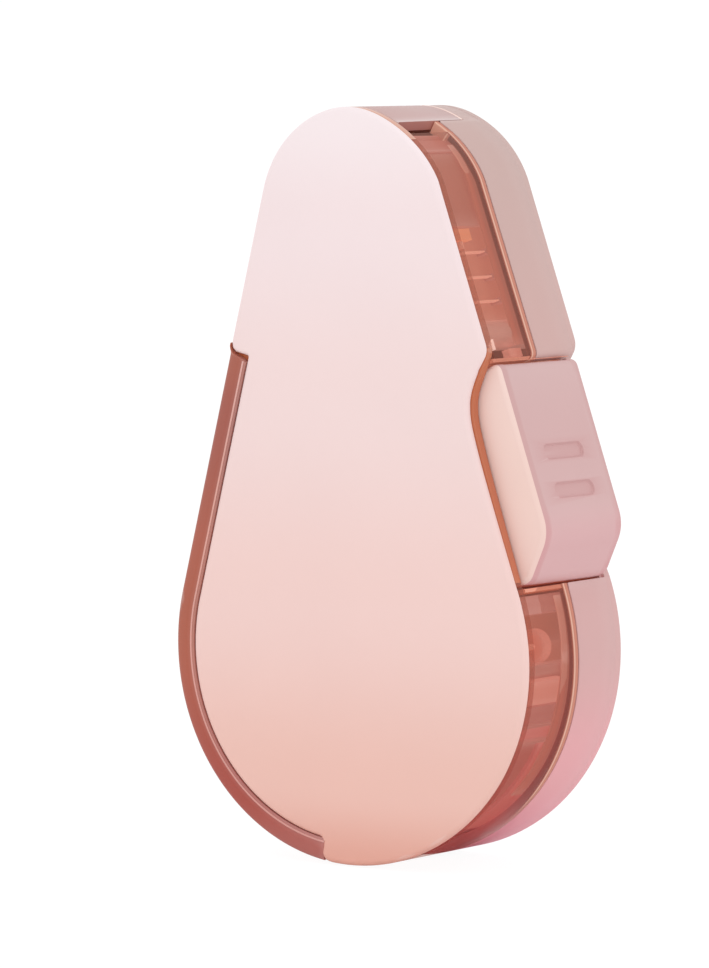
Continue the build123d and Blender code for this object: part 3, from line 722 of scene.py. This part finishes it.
# ---- housing ----------------------------------------------------------------------------------
def cover_points():
    """Outline of the front cover: the plate cut back along the clear strip."""
    inner = STRIP_W + GAP
    big = [lean(*p, FRONT) for p, _ in arc(LOW, BIG_R, -98.98, 22.0)]
    curve = spline([big[-1]] + FRONT_NOTCH, NOTCH_STEPS)[1:]
    corner = (16.06, 30.2)
    flank_foot = (15.94, 30.16)
    right = [lean(*p, FRONT) for p, _ in merge(straight(flank_foot, RIGHT_TOP, 10),
                                               arc(TOP, TOP_R, FLANK, LEFT))][1:]
    flank = straight(LEFT_TOP, LEFT_LOW, 40)
    left = [p for p, _ in flank if p[1] > CUT_TOP][1:]
    slope = (LEFT_LOW[0] - LEFT_TOP[0]) / (LEFT_LOW[1] - LEFT_TOP[1])
    outer_corner = (LEFT_TOP[0] + (CUT_TOP - LEFT_TOP[1]) * slope, CUT_TOP)
    inner_z = CUT_TOP - CUT_DROP
    inner_top = shift(flank[0], inner)
    inner_corner = (inner_top[0] + (inner_z - inner_top[1]) * slope, inner_z)
    low = [shift(s, inner) for s in flank if shift(s, inner)[1] < inner_z - 0.25]
    low += [shift(s, inner) for s in arc(LOW, BIG_R, LEFT, 259.4)][1:]
    bottom = (CUT_X, -sqrt((BIG_R - inner) ** 2 - CUT_X ** 2))
    points = big + curve + [corner] + right + left + [outer_corner, inner_corner] + low + [bottom]
    rounds = ((corner, 0.8), (outer_corner, CUT_R), (inner_corner, 0.2), (bottom, 0.3), (big[0], 1.1))
    for place, reach in rounds:
        points = soften(points, place, reach)
    return points


def front_cover():
    bm = bmesh.new()
    profile = [(0.5, FACE_OUT + 0.02), (0.06, FACE_OUT + 0.02), (0.0, FACE_OUT + 0.08)]
    profile += edge_round(COVER_R, FRONT, 1, 7) + [(COVER_R + 0.08, FRONT)]
    rings(bm, cover_points(), profile)
    cover = new_object("front_cover_skin", bm, "housing", [cover_mat])
    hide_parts("front_cover")


def edge_slot(point, row):
    """Edge of the plate: bright in the button bay and over the narrow end, see-through elsewhere."""
    x, z = point
    bright = (7.5 < z < 30.5 and x > 0) or z > 50.5
    return int(row != 0 and bright)


def clear_housing():
    bm = bmesh.new()
    foot = [(0.2, above_seam(0.0)), (0.06, above_seam(0.03)), (0.0, above_seam(0.14))]
    wall_rows = foot + [(0.0, 12.0), (0.0, FACE_IN + 0.1)]
    rings(bm, soften(band(RIM_CLEAR, 0.0, WALL), BAY_TOP, BAY_R), wall_rows, leaning=True)
    rings(bm, band(RIM_LEFT, 0.0, WALL), wall_rows, leaning=True)
    # low rim under the mouth
    rim = band(arc(TOP, TOP_R, MOUTH_FROM - 0.4, SHUTTER_FROM - 0.6), 0.04, WALL)
    rings(bm, rim, foot + [(0.0, MOUTH_RIM - 0.1), (0.1, MOUTH_RIM)], leaning=True)
    # front plate, which stands out a little past the front cover in the bay
    corner = (16.08, 30.1)
    notch = [(x + 0.3, z - 0.05) for x, z in FRONT_NOTCH] + [corner]
    plate = soften(plain_outline(notch, FACE_OUT), corner, BAY_R)
    back_edge = [(0.3, FACE_IN + 0.02), (0.05, FACE_IN + 0.02), (0.0, FACE_IN + 0.07)]
    front_edge = [(0.0, FACE_OUT - 0.1), (0.03, FACE_OUT - 0.03), (0.1, FACE_OUT), (0.5, FACE_OUT)]
    rings(bm, plate, back_edge + front_edge, slots=edge_slot)
    housing = new_object("clear_housing_shell", bm, "housing", [clear_mat, edge_mat])
    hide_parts("clear_housing")


def strip_width(z):
    """Share of its width the strip has at its top, where it fits round the corner of the cover."""
    down = CUT_START - z + 0.1
    if down >= CUT_R:
        return min(1.0, 0.55 + 0.45 * (down - CUT_R) / 0.2)
    return max(0.03, 0.55 * (1 - sqrt(1 - (down / CUT_R) ** 2)))


STRIP_RUN = merge(
    [s for s in straight(LEFT_TOP, LEFT_LOW, 300) if s[0][1] < CUT_TOP + CUT_R - 0.2],
    arc(LOW, BIG_R, LEFT, 261.4),
)
CUT_START = STRIP_RUN[0][0][1]


def clear_strip():
    """Clear strip down the left of the front: a slope, a bead coloured as a painted highlight and a fill
    beside the cover.
    """
    ridge = 1.45  # width of the slope
    slope = [(ridge * (k / 6) ** 1.15, FACE_OUT + 0.2 + 0.5 * (k / 6) ** 0.7) for k in range(7)]
    section = [(0.0, FACE_OUT)] + slope
    section += [(STRIP_W - 0.1, FRONT + 0.04), (STRIP_W, FRONT - 0.06), (STRIP_W, FACE_OUT)]
    bead = [(1.8, FRONT - 0.1), (1.84, FRONT + 0.04), (1.9, FRONT + 0.08), (2.0, FRONT + 0.05),
            (2.06, FRONT - 0.03), (2.06, FRONT - 0.2)]
    base = FACE_OUT + 0.1
    fill = [(2.02, base), (2.02, FRONT - 0.02), (2.27, FRONT - 0.04), (2.27, base)]
    bm = bmesh.new()
    sweep(bm, STRIP_RUN, section, width=strip_width)
    below_top = STRIP_RUN[10:]
    sweep(bm, below_top, bead, slot=1)
    sweep(bm, below_top, fill)
    strip = new_object("clear_strip", bm, "housing", [strip_mat, bead_highlight_mat])


def back_cover():
    bm = bmesh.new()
    foot = [(0.05, 1.1), (0.0, 1.2)]
    rows = foot + [(0.0, 4.0), (0.0, above_seam(-0.24)), (0.06, above_seam(-0.12)),
                   (0.18, above_seam(-0.08))]
    rings(bm, soften(band(RIM_RIGHT, 0.0, WALL), BAY_TOP, BAY_R), rows, leaning=True)
    rings(bm, band(RIM_LEFT, 0.0, WALL), rows, leaning=True)
    mouth_rows = foot + [(0.0, MOUTH_LO - 0.15), (0.15, MOUTH_LO)]
    rings(bm, band(RIM_MOUTH, 0.02, WALL), mouth_rows, leaning=True)
    tray = soften(plain_outline(REAR_NOTCH), REAR_NOTCH[-1], BAY_R)
    tray_rows = [(REAR_R + 0.3, 0.0)] + edge_round(REAR_R, 0.0, -1)
    tray_rows += [(0.0, 1.2), (0.3, 1.25), (0.3, PLATE), (0.9, PLATE)]
    rings(bm, tray, tray_rows, leaning=True)
    # posts that hold the two halves together
    for x, z, r in ((6.0, -17.0, 1.7), (-14.9, 15.0, 1.7), (-7.9, 42.35, 1.4), (7.2, 43.0, 1.1)):
        lathe(bm, (x, z), [(r - 0.04, PLATE - 0.2), (r, PLATE), (r, 10.6), (r - 0.2, 10.8)])
    back = new_object("back_cover_shell", bm, "housing", [shell_mat])
    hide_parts("back_cover")


def bay_walls():
    """Floor and roof of the button bay, which show in the gaps round the button; their glow is painted
    light.
    """
    bm = bmesh.new()
    floor_wall = band(arc(PIVOT, 25.2, -84.0, -73.6, 1.0), -0.35, 0.0)[::-1]
    roof_wall = [(13.8, 28.35), (15.9, 29.13), (15.8, 29.45), (13.7, 28.67)]
    rows = [(0.05, PLATE), (0.0, PLATE + 0.1), (0.0, LINING_TOP), (0.05, LINING_TOP + 0.1)]
    for outline in (floor_wall, roof_wall):
        rings(bm, outline, rows)
    bay = new_object("bay_walls", bm, "housing", [bay_mat])


# ---- moulded parts seen through the clear wall ------------------------------------------------
INSIDE = {
    "mid": (178, 120, 102), "dark": (158, 98, 84), "deep": (152, 78, 64),
    "orange": (208, 126, 72), "cream": (218, 158, 138), "salmon": (198, 132, 116),
    "brown": (164, 108, 90), "red": (182, 96, 88), "rim": (172, 108, 90),
    "white": (250, 236, 230),
}
INSIDE_SLOT = {key: i for i, key in enumerate(INSIDE)}

# lowest and highest z, lowest and highest level, outer and inner inset, colour
LININGS = [
    (33.4, 50.4, 3.0, 15.3, 2.5, 2.8, "mid"),  # wall behind the upper band
    (42.7, 50.3, 7.2, 15.2, 1.7, 2.3, "dark"),
    (41.3, 42.4, 10.9, 13.7, 1.5, 2.3, "orange"),  # block above the ribs
    (40.5, 41.2, 12.7, 13.4, 1.5, 2.3, "cream"),
    (29.9, 30.7, 7.9, 10.1, 1.5, 2.4, "salmon"),  # web over the button pin
    # painted highlight: a white bar at the end of the button pin
    (30.7, 32.1, 12.3, 12.8, 1.5, 2.0, "white"),
    (1.6, 6.0, 2.5, 15.3, 4.2, 4.5, "brown"),  # wall behind the locating post
    (-2.0, 1.6, 2.5, 15.3, 4.2, 4.5, "mid"),
    (4.9, 6.8, 5.0, 15.2, 1.5, 3.1, "deep"),
    (-1.6, -0.5, 5.0, 15.2, 1.8, 2.9, "dark"),  # webs under the post
    (-4.7, -2.2, 7.7, 14.0, 1.5, 2.6, "salmon"),
    (-4.8, -1.6, 4.0, 15.3, 2.9, 3.2, "dark"),
    (-6.7, -4.9, 4.0, 15.2, 1.5, 2.2, "deep"),
    (-7.2, -6.9, 4.0, 15.2, 1.4, 2.6, "dark"),
    (-9.0, -8.7, 4.0, 15.2, 1.4, 2.6, "dark"),
    (-9.0, -7.2, 3.0, 15.2, 1.9, 2.3, "red"),
    (31.0, 51.0, 6.0, 9.0, 1.33, 1.5, "rim"),  # inner lip along the seam
    (-15.0, 6.5, 6.0, 8.9, 1.33, 1.5, "rim"),
]
for rib_z in (40.1, 37.7, 35.35):  # three ribs, each a painted highlight line on its top edge above a band of painted shade at its root
    LININGS.append((rib_z - 0.06, rib_z + 0.06, 9.5, 13.6, 1.35, 2.0, "cream"))
    LININGS.append((rib_z - 0.2, rib_z + 0.3, 7.9, 9.4, 1.5, 2.6, "deep"))
# centre, radius, first and last angle, then levels, insets and colour as above
ARC_LININGS = [
    (LOW, BIG_R, -118.0, -26.0, 2.5, 9.4, 1.6, 2.2, "red"),
    (LOW, BIG_R, -118.0, -26.0, 9.5, 15.2, 1.9, 2.3, "deep"),
    (TOP, TOP_R, 42.6, 57.0, 6.0, 15.2, 1.4, 1.9, "deep"),
]


def wall_linings():
    """Thin walls behind the clear wall, with the locating post and its tapered pin; they glow as painted
    light.
    """
    bm = bmesh.new()
    for z_lo, z_hi, lo, hi, outer, inner, key in LININGS:
        count = max(2, int((z_hi - z_lo) / 0.7))
        run = [right_side(z_lo + (z_hi - z_lo) * k / count) for k in range(count + 1)]
        rings(bm, band(run, outer, inner), bevelled(lo, hi, 0.08), slot=INSIDE_SLOT[key])
    for centre, radius, start, end, lo, hi, outer, inner, key in ARC_LININGS:
        run = arc(centre, radius, start, end)
        rings(bm, band(run, outer, inner), bevelled(lo, hi, 0.08), slot=INSIDE_SLOT[key])
    post = [(1.5, 9.4), (1.7, 9.5), (1.7, 10.6), (1.5, 10.8), (0.9, 10.8)]
    lathe(bm, (17.3, 1.1), post, INSIDE_SLOT["salmon"])
    lathe(bm, (17.6, 1.1), [(0.28, 10.7), (0.62, LINING_TOP)], INSIDE_SLOT["cream"])
    # glow is painted light: inside the case the linings would lie in shade
    materials = [plastic("inside_" + key, [(1.0, rgb)], rough=(0.3, 0.45), blotch=0.06, glow=0.75,
                         dim=0.9) for key, rgb in INSIDE.items()]
    linings = new_object("wall_linings", bm, "housing", materials)


# ---- press button -----------------------------------------------------------------------------
OUTER_FACE = [p for p, _ in merge(straight(HEEL, ELBOW, 6), straight(ELBOW, SHOULDER, 20))]


def button_outline(before, after):
    """Outer face of the button with its corners rounded, closed by the two given runs."""
    points = before + OUTER_FACE + after
    for corner, reach in ((ELBOW, 1.6), (SHOULDER, 0.95), (HEEL, 0.9)):
        points = soften(points, corner, reach)
    return points


def button_solid(bm, points, rows, side_from=None):
    """Rings whose outer face leans in toward the front; rows from side_from on use slot 1."""
    samples = with_normals(points)
    loops = []
    for inset, level in rows:
        loop = []
        for s in samples:
            x, z = shift(s, inset)
            share = between(x, 14.5, 16.0)  # the hidden inner side stands straight
            loop.append(put(bm, x + BUTTON_LEAN * share * between(level, BUTTON_LO, BUTTON_HI), z, level))
        loops.append(loop)
    bridge(bm, loops, lambda side, row: int(side_from is not None and row >= side_from))
    cap(bm, loops[0])
    cap(bm, loops[-1], int(side_from is not None))


def button_cheeks():
    """The two sides of the button; the front one takes the lit copy of the plastic on its face and ridge,
    painted light.
    """
    outline = button_outline([(18.2, 7.15)], [(14.35, 28.2), (13.4, 26.0), (15.6, 15.5)])
    face = edge_round(0.5, BUTTON_HI, 1, 7) + [(0.56, BUTTON_HI)]
    front = [(0.0, CHEEK_HI), (0.0, CHEEK_HI + 0.3)] + face
    rear = [(0.5, BUTTON_LO)] + edge_round(0.42, BUTTON_LO, -1) + [(0.0, CHEEK_LO)]
    bm = bmesh.new()
    # rows of the ridge and the front face take the lit copy, painted highlight
    button_solid(bm, outline, front, len(front) - 7)
    button_solid(bm, outline, rear)
    cheeks = new_object("button_cheeks", bm, "button", [button_mat, button_lit_side_mat])


def grip_cutter(z):
    """Shallow slot with round ends, pressed into the outer face at a height."""
    slope = atan2(ELBOW[0] - SHOULDER[0], SHOULDER[1] - ELBOW[1])
    x = SHOULDER[0] + (SHOULDER[1] - z) * tan(slope) - 0.22
    half, r, depth = 2.55, 0.75, 0.26
    outline = []
    for end, start in ((-half, pi / 2), (half, -pi / 2)):
        for k in range(25):
            a = start + pi * k / 24
            outline.append((end + r * cos(a), r * sin(a)))
    bm = bmesh.new()
    loops = []
    for out, grow in ((-depth, -0.12), (-depth + 0.12, 0.0), (-0.1, 0.0), (0.02, 0.1), (0.8, 0.1)):
        loop = []
        for u, v in outline:
            across = v * (1 + grow / r)
            px = x + out * cos(slope) - across * sin(slope)
            pz = z + out * sin(slope) + across * cos(slope)
            level = (BUTTON_LO + BUTTON_HI) / 2 + u + (grow if u > 0 else -grow)
            tilt = BUTTON_LEAN * ((level - BUTTON_LO) / (BUTTON_HI - BUTTON_LO) - 0.5)
            loop.append(put(bm, px + tilt, pz, level))
        loops.append(loop)
    bridge(bm, loops)
    close_ends(bm, loops)
    return new_object("grip", bm, None, [button_mat])


def button_face():
    """Outer face of the button, with its two grip marks."""
    outline = button_outline([(18.6, 7.2)], [(14.6, 28.0), (15.3, 27.4), (20.3, 13.7), (18.6, 8.4)])
    bm = bmesh.new()
    button_solid(bm, outline, [(0.0, CHEEK_LO), (0.0, CHEEK_HI)])
    button = new_object("button_face", bm, "button", [button_mat])
    carve(button, [grip_cutter(z) for z in (20.35, 16.65)])
    button.modifiers.new("even", "WEIGHTED_NORMAL").keep_sharp = True
    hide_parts("press_button")


def button_arm():
    """Barrel round the pin, the arm that reaches into the case, and its peg."""
    bm = bmesh.new()
    lathe(bm, PIVOT, [(1.35, BUTTON_LO + 0.02), (1.5, BUTTON_LO + 0.15), (1.5, BUTTON_HI - 0.15),
                      (1.35, BUTTON_HI - 0.02)])
    arm_lo = CHEEK_HI + 0.07
    arm = [(16.4, 17.5), (12.2, 14.6), (10.7, 13.4), (10.7, 12.4), (12.2, 11.4), (17.2, 10.0)]
    rings(bm, arm, bevelled(arm_lo, LINING_TOP, 0.08))
    tab = [(12.4, 30.2), (13.6, 27.0), (14.3, 27.6), (13.6, 31.0)]
    for lo, hi in ((BUTTON_LO + 0.03, CHEEK_LO - 0.05), (arm_lo, LINING_TOP)):
        rings(bm, tab, bevelled(lo, hi, 0.05))
    lathe(bm, (12.0, 13.0), [(0.85, 12.5), (1.0, 12.65), (1.0, 14.2), (0.9, 14.3)])
    link = new_object("button_arm", bm, "button", [barrel_mat])


# ---- head shutter -----------------------------------------------------------------------------
def shutter_shell():
    """Curved shutter over the mouth, with a rim of painted highlight along its rear edge, painted shade
    on its lower end, and its hinge barrel.
    """
    lo, hi = SHUTTER_LO, SHUTTER_HI
    bm = bmesh.new()
    rows = [(0.2, lo), (0.06, lo + 0.06), (0.0, lo + 0.2), (0.0, hi - 0.2), (0.06, hi - 0.06), (0.2, hi)]
    rings(bm, band(arc(TOP, TOP_R, SHUTTER_FROM, SHUTTER_TO, 3.0), 0.0, 1.0), rows, leaning=True)
    for face in bm.faces:  # the lower end is coloured dark red as painted shade of the gap below it
        middle = face.calc_center_median() / MM
        if degrees(atan2(middle.z - TOP_Z, middle.x)) < SHUTTER_FROM + 0.1:
            face.material_index = 2
    # rim of painted highlight along the shutter's rear edge
    rim = band(arc(TOP, TOP_R, SHUTTER_FROM + 0.2, 90.0, 3.0), -0.03, 0.2)
    rim_rows = [(0.02, lo - 0.05), (0.0, lo), (0.0, lo + 0.14), (0.02, lo + 0.2)]
    rings(bm, rim, rim_rows, slot=1, leaning=True)
    lathe(bm, HINGE, [(1.0, lo), (1.1, lo + 0.1), (1.1, hi - 0.1), (1.0, hi)])
    neck = [on_circle(TOP, r, a) for r, a in ((9.9, 121.5), (10.6, 122.0), (10.3, 128.0), (9.1, 127.0))]
    rings(bm, neck, [(0.0, lo + 0.05), (0.0, hi - 0.05)])
    materials = [shutter_mat, shutter_highlight_mat, shutter_shade_mat]
    shutter = new_object("shutter_shell", bm, "shutter", materials)
    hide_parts("head_shutter")


def turned(point, centre, angle):
    """The point turned clockwise about a centre."""
    dx, dz = point[0] - centre[0], point[1] - centre[1]
    c, s = cos(radians(angle)), sin(radians(angle))
    return (centre[0] + dx * c + dz * s, centre[1] - dx * s + dz * c)


def ribbon(points, half):
    """Closed outline of a line of that half width with round ends."""
    right_pts, left_pts = [], []
    n = len(points)
    for i, p in enumerate(points):
        a, b = points[max(i - 1, 0)], points[min(i + 1, n - 1)]
        dx, dz = b[0] - a[0], b[1] - a[1]
        length = sqrt(dx * dx + dz * dz)
        nx, nz = dz / length, -dx / length
        right_pts.append((p[0] + nx * half, p[1] + nz * half))
        left_pts.append((p[0] - nx * half, p[1] - nz * half))
    ends = []
    for (p, q) in ((points[-1], points[-2]), (points[0], points[1])):
        start = degrees(atan2(p[1] - q[1], p[0] - q[0])) - 90
        ends.append([on_circle(p, half, start + 180 * k / 8) for k in range(1, 8)])
    return right_pts + ends[0] + left_pts[::-1] + ends[1]


def shutter_cheek():
    """Crank of the shutter, with a slot along the path that the head's peg takes as both move."""
    foot = (HINGE[0] + 3.1, HINGE[1] - 3.5)
    steps = 12
    path = [turned((foot[0], foot[1] + SLIDE * k / steps), HINGE, SWING * k / steps)
            for k in range(steps + 1)]
    lo, hi = SHUTTER_LO + 0.02, 4.98
    bm = bmesh.new()
    rings(bm, ribbon([HINGE] + path, 1.6), [(0.1, lo), (0.0, lo + 0.08), (0.0, hi - 0.08), (0.1, hi)])
    cheek = new_object("shutter_cheek", bm, "shutter", [shutter_mat])
    bm = bmesh.new()
    rings(bm, ribbon(path, 0.8), [(0.0, 3.0), (0.0, 6.0)])
    carve(cheek, [new_object("slot", bm, None, [shutter_mat])])


# ---- core -------------------------------------------------------------------------------------
def spring_coil():
    """Return spring as a fixed coil; on the real tape it shortens against its upper seat as the core
    rises.
    """
    bm = bmesh.new()
    loops = []
    steps = SPRING_TURNS * 28
    for k in range(steps + 1):
        turn = 2 * pi * SPRING_TURNS * k / steps
        z = SPRING_LO + SPRING_WIRE + (SPRING_HI - SPRING_LO - 2 * SPRING_WIRE) * k / steps
        loop = []
        for i in range(8):
            reach = SPRING_R + SPRING_WIRE * cos(pi * i / 4)
            loop.append(put(bm, SPRING[0] + reach * cos(turn), z + SPRING_WIRE * sin(pi * i / 4),
                            SPRING[1] + reach * sin(turn)))
        loops.append(loop)
    bridge(bm, loops)
    close_ends(bm, loops)
    spring = new_object("spring_coil", bm, "housing", [steel])
    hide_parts("return_spring")
    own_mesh(spring)


def keep_nodes():
    """CAD solids whose shape is right get a material of their own."""
    kept = {
        steel: ("button_pin", "shutter_pin"),
        inner_mat: ("core_frame", "core_bridge", "reel_cap", "supply_reel", "takeup_reel"),
        white: ("applicator_head", "supply_gear", "takeup_gear"),
        rubber: ("clutch_ring",),
        tape_mat: ("tape_roll", "tape_run"),
        liner_mat: ("liner_roll", "liner_run"),
    }
    for material, names in kept.items():
        for name in names:
            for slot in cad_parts[name].material_slots:
                slot.material = material


# ---- floor, light, camera -----------------------------------------------------------------------
def pale_floor():
    """Pale floor, which looks close to paper white from the camera."""
    bm = bmesh.new()
    height = -BIG_R * MM - 0.0002
    bm.faces.new([bm.verts.new((x, y, height)) for x, y in ((-3, -3), (3, -3), (3, 3), (-3, 3))])
    mesh = bpy.data.meshes.new("floor")
    bm.to_mesh(mesh)
    bm.free()
    floor = bpy.data.objects.new("floor", mesh)
    bpy.context.scene.collection.objects.link(floor)
    n = Nodes("floor_pale")
    p = n.add("ShaderNodeBsdfPrincipled")
    p.inputs["Roughness"].default_value = 0.9
    p.inputs["Specular IOR Level"].default_value = 0.1
    n.link(n.ramp(n.noise(6.0), [(0.3, grey(0.93)), (0.7, grey(0.95))]), p.inputs["Base Color"])
    glow = n.add("ShaderNodeEmission")
    glow.inputs["Strength"].default_value = 1.08
    seen = n.map(n.add("ShaderNodeLightPath").outputs["Is Camera Ray"], 0.0, 0.88)
    mesh.materials.append(n.finish(n.mix_shader(seen, p.outputs["BSDF"], glow.outputs[0])))


def studio_world():
    """Soft white light from all round, a little brighter where the camera sees it."""
    world = bpy.data.worlds.new("studio")
    bpy.context.scene.world = world
    world.use_nodes = True
    tree = world.node_tree
    sky = tree.nodes["Background"]
    sky.inputs["Color"].default_value = grey(1.0)
    path = tree.nodes.new("ShaderNodeLightPath")
    strength = tree.nodes.new("ShaderNodeMapRange")
    strength.inputs["To Min"].default_value = 0.94
    strength.inputs["To Max"].default_value = 1.02
    tree.links.new(path.outputs["Is Camera Ray"], strength.inputs["Value"])
    tree.links.new(strength.outputs["Result"], sky.inputs["Strength"])


def area_light(name, place, size, power):
    """Rectangular light that points at the middle of the object."""
    light = bpy.data.lights.new(name, "AREA")
    light.shape = "RECTANGLE"
    light.size, light.size_y = size
    light.energy = power
    obj = bpy.data.objects.new(name, light)
    bpy.context.scene.collection.objects.link(obj)
    obj.location = place
    direction = Vector((0.0, -0.0085, 0.016)) - Vector(place)
    obj.rotation_euler = direction.to_track_quat("-Z", "Y").to_euler()


def aim_camera():
    """Long lens from the front right, a little above the middle of the object."""
    camera = bpy.data.cameras.new("camera")
    camera.sensor_fit = "VERTICAL"
    camera.sensor_height = 36.0
    camera.lens = 214.74
    cam = bpy.data.objects.new("camera", camera)
    bpy.context.scene.collection.objects.link(cam)
    cam.location = Vector((322.08, -483.73, 59.20)) * MM
    target = Vector((-5.09, -8.5, 15.98)) * MM
    cam.rotation_euler = (target - cam.location).to_track_quat("-Z", "Y").to_euler()
    bpy.context.scene.camera = cam
    bpy.context.scene.view_settings.view_transform = "Standard"


for build in (front_cover, clear_housing, clear_strip, back_cover, bay_walls, wall_linings,
              button_cheeks, button_face, button_arm, shutter_shell, shutter_cheek,
              spring_coil, keep_nodes, pale_floor, studio_world):
    build()
area_light("key", (-0.35, -0.55, 0.45), (0.5, 0.5), 0.15)
area_light("fill", (0.7, -0.1, 0.2), (0.1, 0.6), 0.25)
aim_camera()
